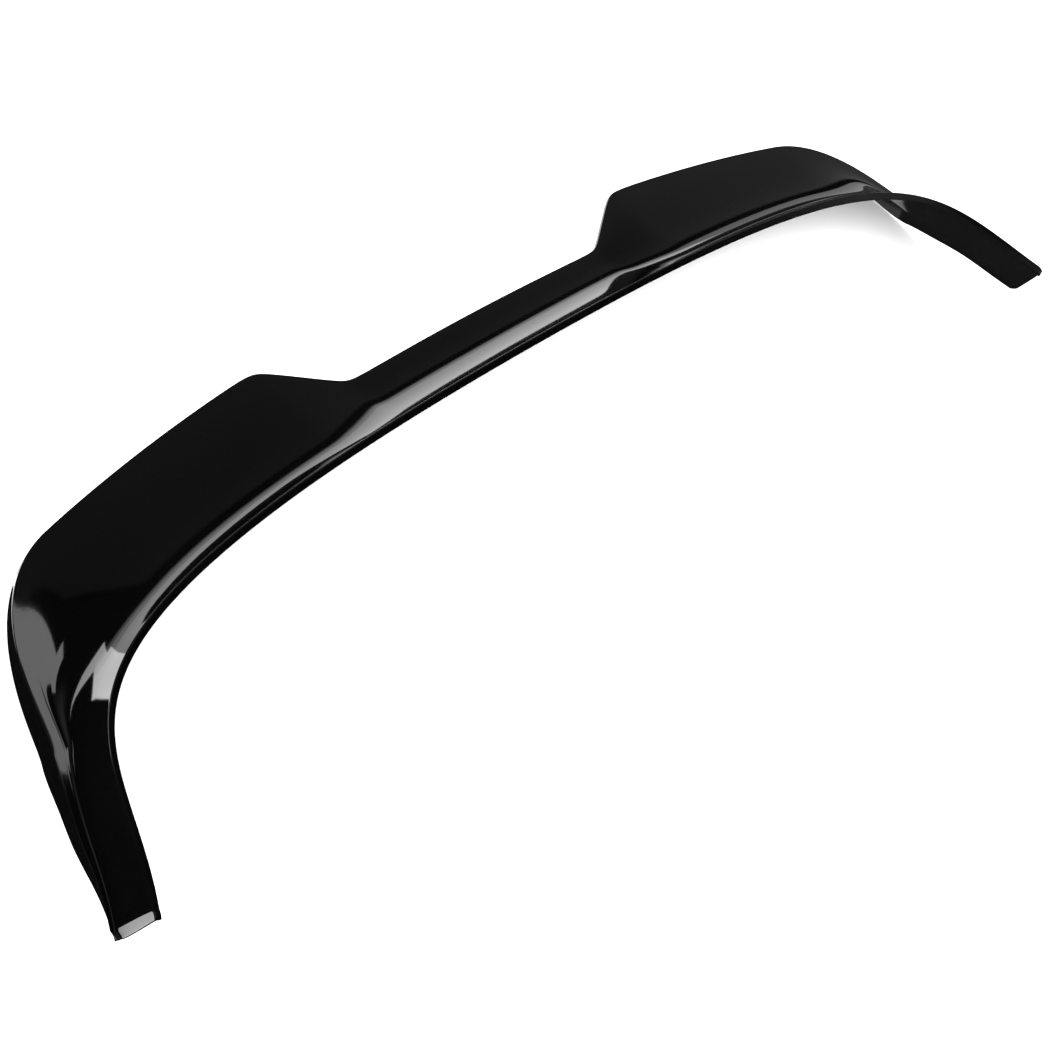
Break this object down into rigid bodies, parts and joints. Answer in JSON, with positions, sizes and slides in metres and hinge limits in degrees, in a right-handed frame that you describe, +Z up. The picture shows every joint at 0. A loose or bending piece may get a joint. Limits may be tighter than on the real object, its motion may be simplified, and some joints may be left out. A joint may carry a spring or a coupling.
{
  "type": "car spoiler",
  "caption": "One-piece roof-edge car spoiler: thin gloss shell with a kicked-up concave lip, bonding tabs either side of a notch, and tapering arms that sweep back down the sides.",
  "frame": {"origin": "centre of the part's box in plan, at the level of the surface that it lies on", "axes": "+X across to the car's right, +Y towards the car's front where the tabs are, +Z up; the lip and the arms point to -Y"},
  "size_m": [1.2052, 0.336, 0.0867],
  "materials": {
    "gloss_black": "high-gloss black moulded plastic"
  },
  "bodies": {
    "root": {"spoiler_shell": "gloss_black"}
  },
  "joints": []
}
